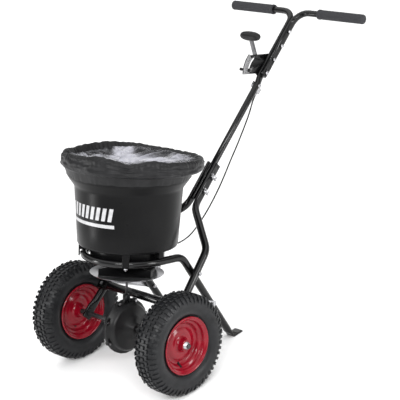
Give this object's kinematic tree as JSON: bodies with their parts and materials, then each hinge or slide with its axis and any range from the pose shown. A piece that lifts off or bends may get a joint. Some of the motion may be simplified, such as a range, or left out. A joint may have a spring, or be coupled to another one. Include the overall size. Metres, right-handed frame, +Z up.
{
  "type": "garden spreader",
  "caption": "Push broadcast spreader: round hopper with rain cover on a tubular frame, two pneumatic wheels driving a gearbox and impeller, tall handle with foam grips and a flow lever.",
  "frame": {"origin": "centre of the parked machine's footprint box, on the ground", "axes": "+X across the machine to the right-hand wheel as seen from the front, +Y to the rear towards the handle, +Z up"},
  "size_m": [0.592, 1.2032, 0.9187],
  "materials": {
    "tyre": "dark matte rubber with a knobby tread",
    "rim_paint": "gloss red paint on pressed steel",
    "zinc": "bright zinc plate",
    "nylon": "black nylon, satin",
    "casing": "satin black moulded plastic",
    "steel": "polished steel",
    "grip_foam": "dark grey closed-cell foam",
    "lever_paint": "silver-grey paint",
    "sheath": "black vinyl cable sheath",
    "hopper_plastic": "satin black polypropylene",
    "cover_vinyl": "clear vinyl sheet with a black elastic skirt",
    "black_paint": "gloss black powder coat"
  },
  "bodies": {
    "drive_wheel": {"axle": "zinc", "crown_gear": "nylon", "rim_right": "rim_paint", "tyre_right": "tyre", "hub_nut_right": "zinc", "hub_nut_left": "zinc"},
    "free_wheel": {"rim_left": "rim_paint", "tyre_left": "tyre"},
    "impeller": {"impeller_shaft": "steel", "pinion_gear": "nylon", "impeller_disc": "steel", "impeller_vanes": "casing"},
    "lever": {"control_lever": "lever_paint", "lever_knob": "casing"},
    "wire": {"cable_wire": "steel"},
    "shutter": {"shutter_plate": "zinc"},
    "cover": {"rain_cover": "cover_vinyl"},
    "chassis": {"axle_bushing_left": "nylon", "axle_bushing_right": "nylon", "brace_bolt_left": "zinc", "brace_bolt_right": "zinc", "cable_clamp": "zinc", "control_cable": "sheath", "crossbar": "black_paint", "crossbar_bolt_left": "zinc", "crossbar_bolt_right": "zinc", "crossing_bolt_left": "zinc", "crossing_bolt_right": "zinc", "gearbox_half_left": "casing", "gearbox_half_right": "casing", "gearbox_screw_1": "zinc", "gearbox_screw_2": "zinc", "gearbox_screw_3": "zinc", "gearbox_screw_4": "zinc", "gearbox_screw_5": "zinc", "gearbox_screw_6": "zinc", "grip_left": "grip_foam", "grip_right": "grip_foam", "handle_bolt_1": "zinc", "handle_bolt_2": "zinc", "handle_bolt_3": "zinc", "handle_column": "black_paint", "handlebar_right": "black_paint", "hopper": "hopper_plastic", "hopper_bolt_1": "zinc", "hopper_bolt_2": "zinc", "hopper_bolt_3": "zinc", "hopper_bolt_4": "zinc", "junction_bolt_1": "zinc", "junction_bolt_2": "zinc", "leg_brace_left": "zinc", "leg_brace_right": "zinc", "lever_pivot_bolt": "zinc", "lower_frame": "black_paint", "lower_tube_left": "black_paint", "lower_tube_right": "black_paint", "quadrant_plate": "black_paint", "stop_screw": "casing", "wing_nut_1": "zinc", "wing_nut_2": "zinc"}
  },
  "joints": [
    {"name": "drive_axle", "type": "hinge", "parent": "chassis", "child": "drive_wheel", "pos_m": [0, -0.43663, 0.165], "axis": [1, 0, 0], "continuous": true},
    {"name": "wheel_left", "type": "hinge", "parent": "chassis", "child": "free_wheel", "pos_m": [-0.246, -0.43663, 0.165], "axis": [1, 0, 0], "continuous": true},
    {"name": "impeller_spin", "type": "hinge", "parent": "chassis", "child": "impeller", "pos_m": [0, -0.38792, 0.33829], "axis": [0, 0.2706, 0.9627], "continuous": true},
    {"name": "flow_lever", "type": "hinge", "parent": "chassis", "child": "lever", "pos_m": [-0.019, 0.37605, 0.75113], "axis": [1, 0, 0], "range_deg": [0, 42.5]},
    {"name": "wire_pull", "type": "slide", "parent": "chassis", "child": "wire", "axis": [0, 0.7157, 0.6984], "range_m": [0, 0.02337]},
    {"name": "shutter_slide", "type": "slide", "parent": "chassis", "child": "shutter", "axis": [0, 0.9627, -0.2706], "range_m": [0, 0.0234]},
    {"name": "cover_lift", "type": "slide", "parent": "chassis", "child": "cover", "axis": [0, 0.2706, 0.9627], "range_m": [0, 0.35]}
  ],
  "couplings": [
    {"joint": "impeller_spin", "follows": "drive_axle", "ratio": -6},
    {"joint": "wire_pull", "follows": "flow_lever", "m_per_rad": 0.030967},
    {"joint": "shutter_slide", "follows": "flow_lever", "m_per_rad": 0.031007}
  ]
}
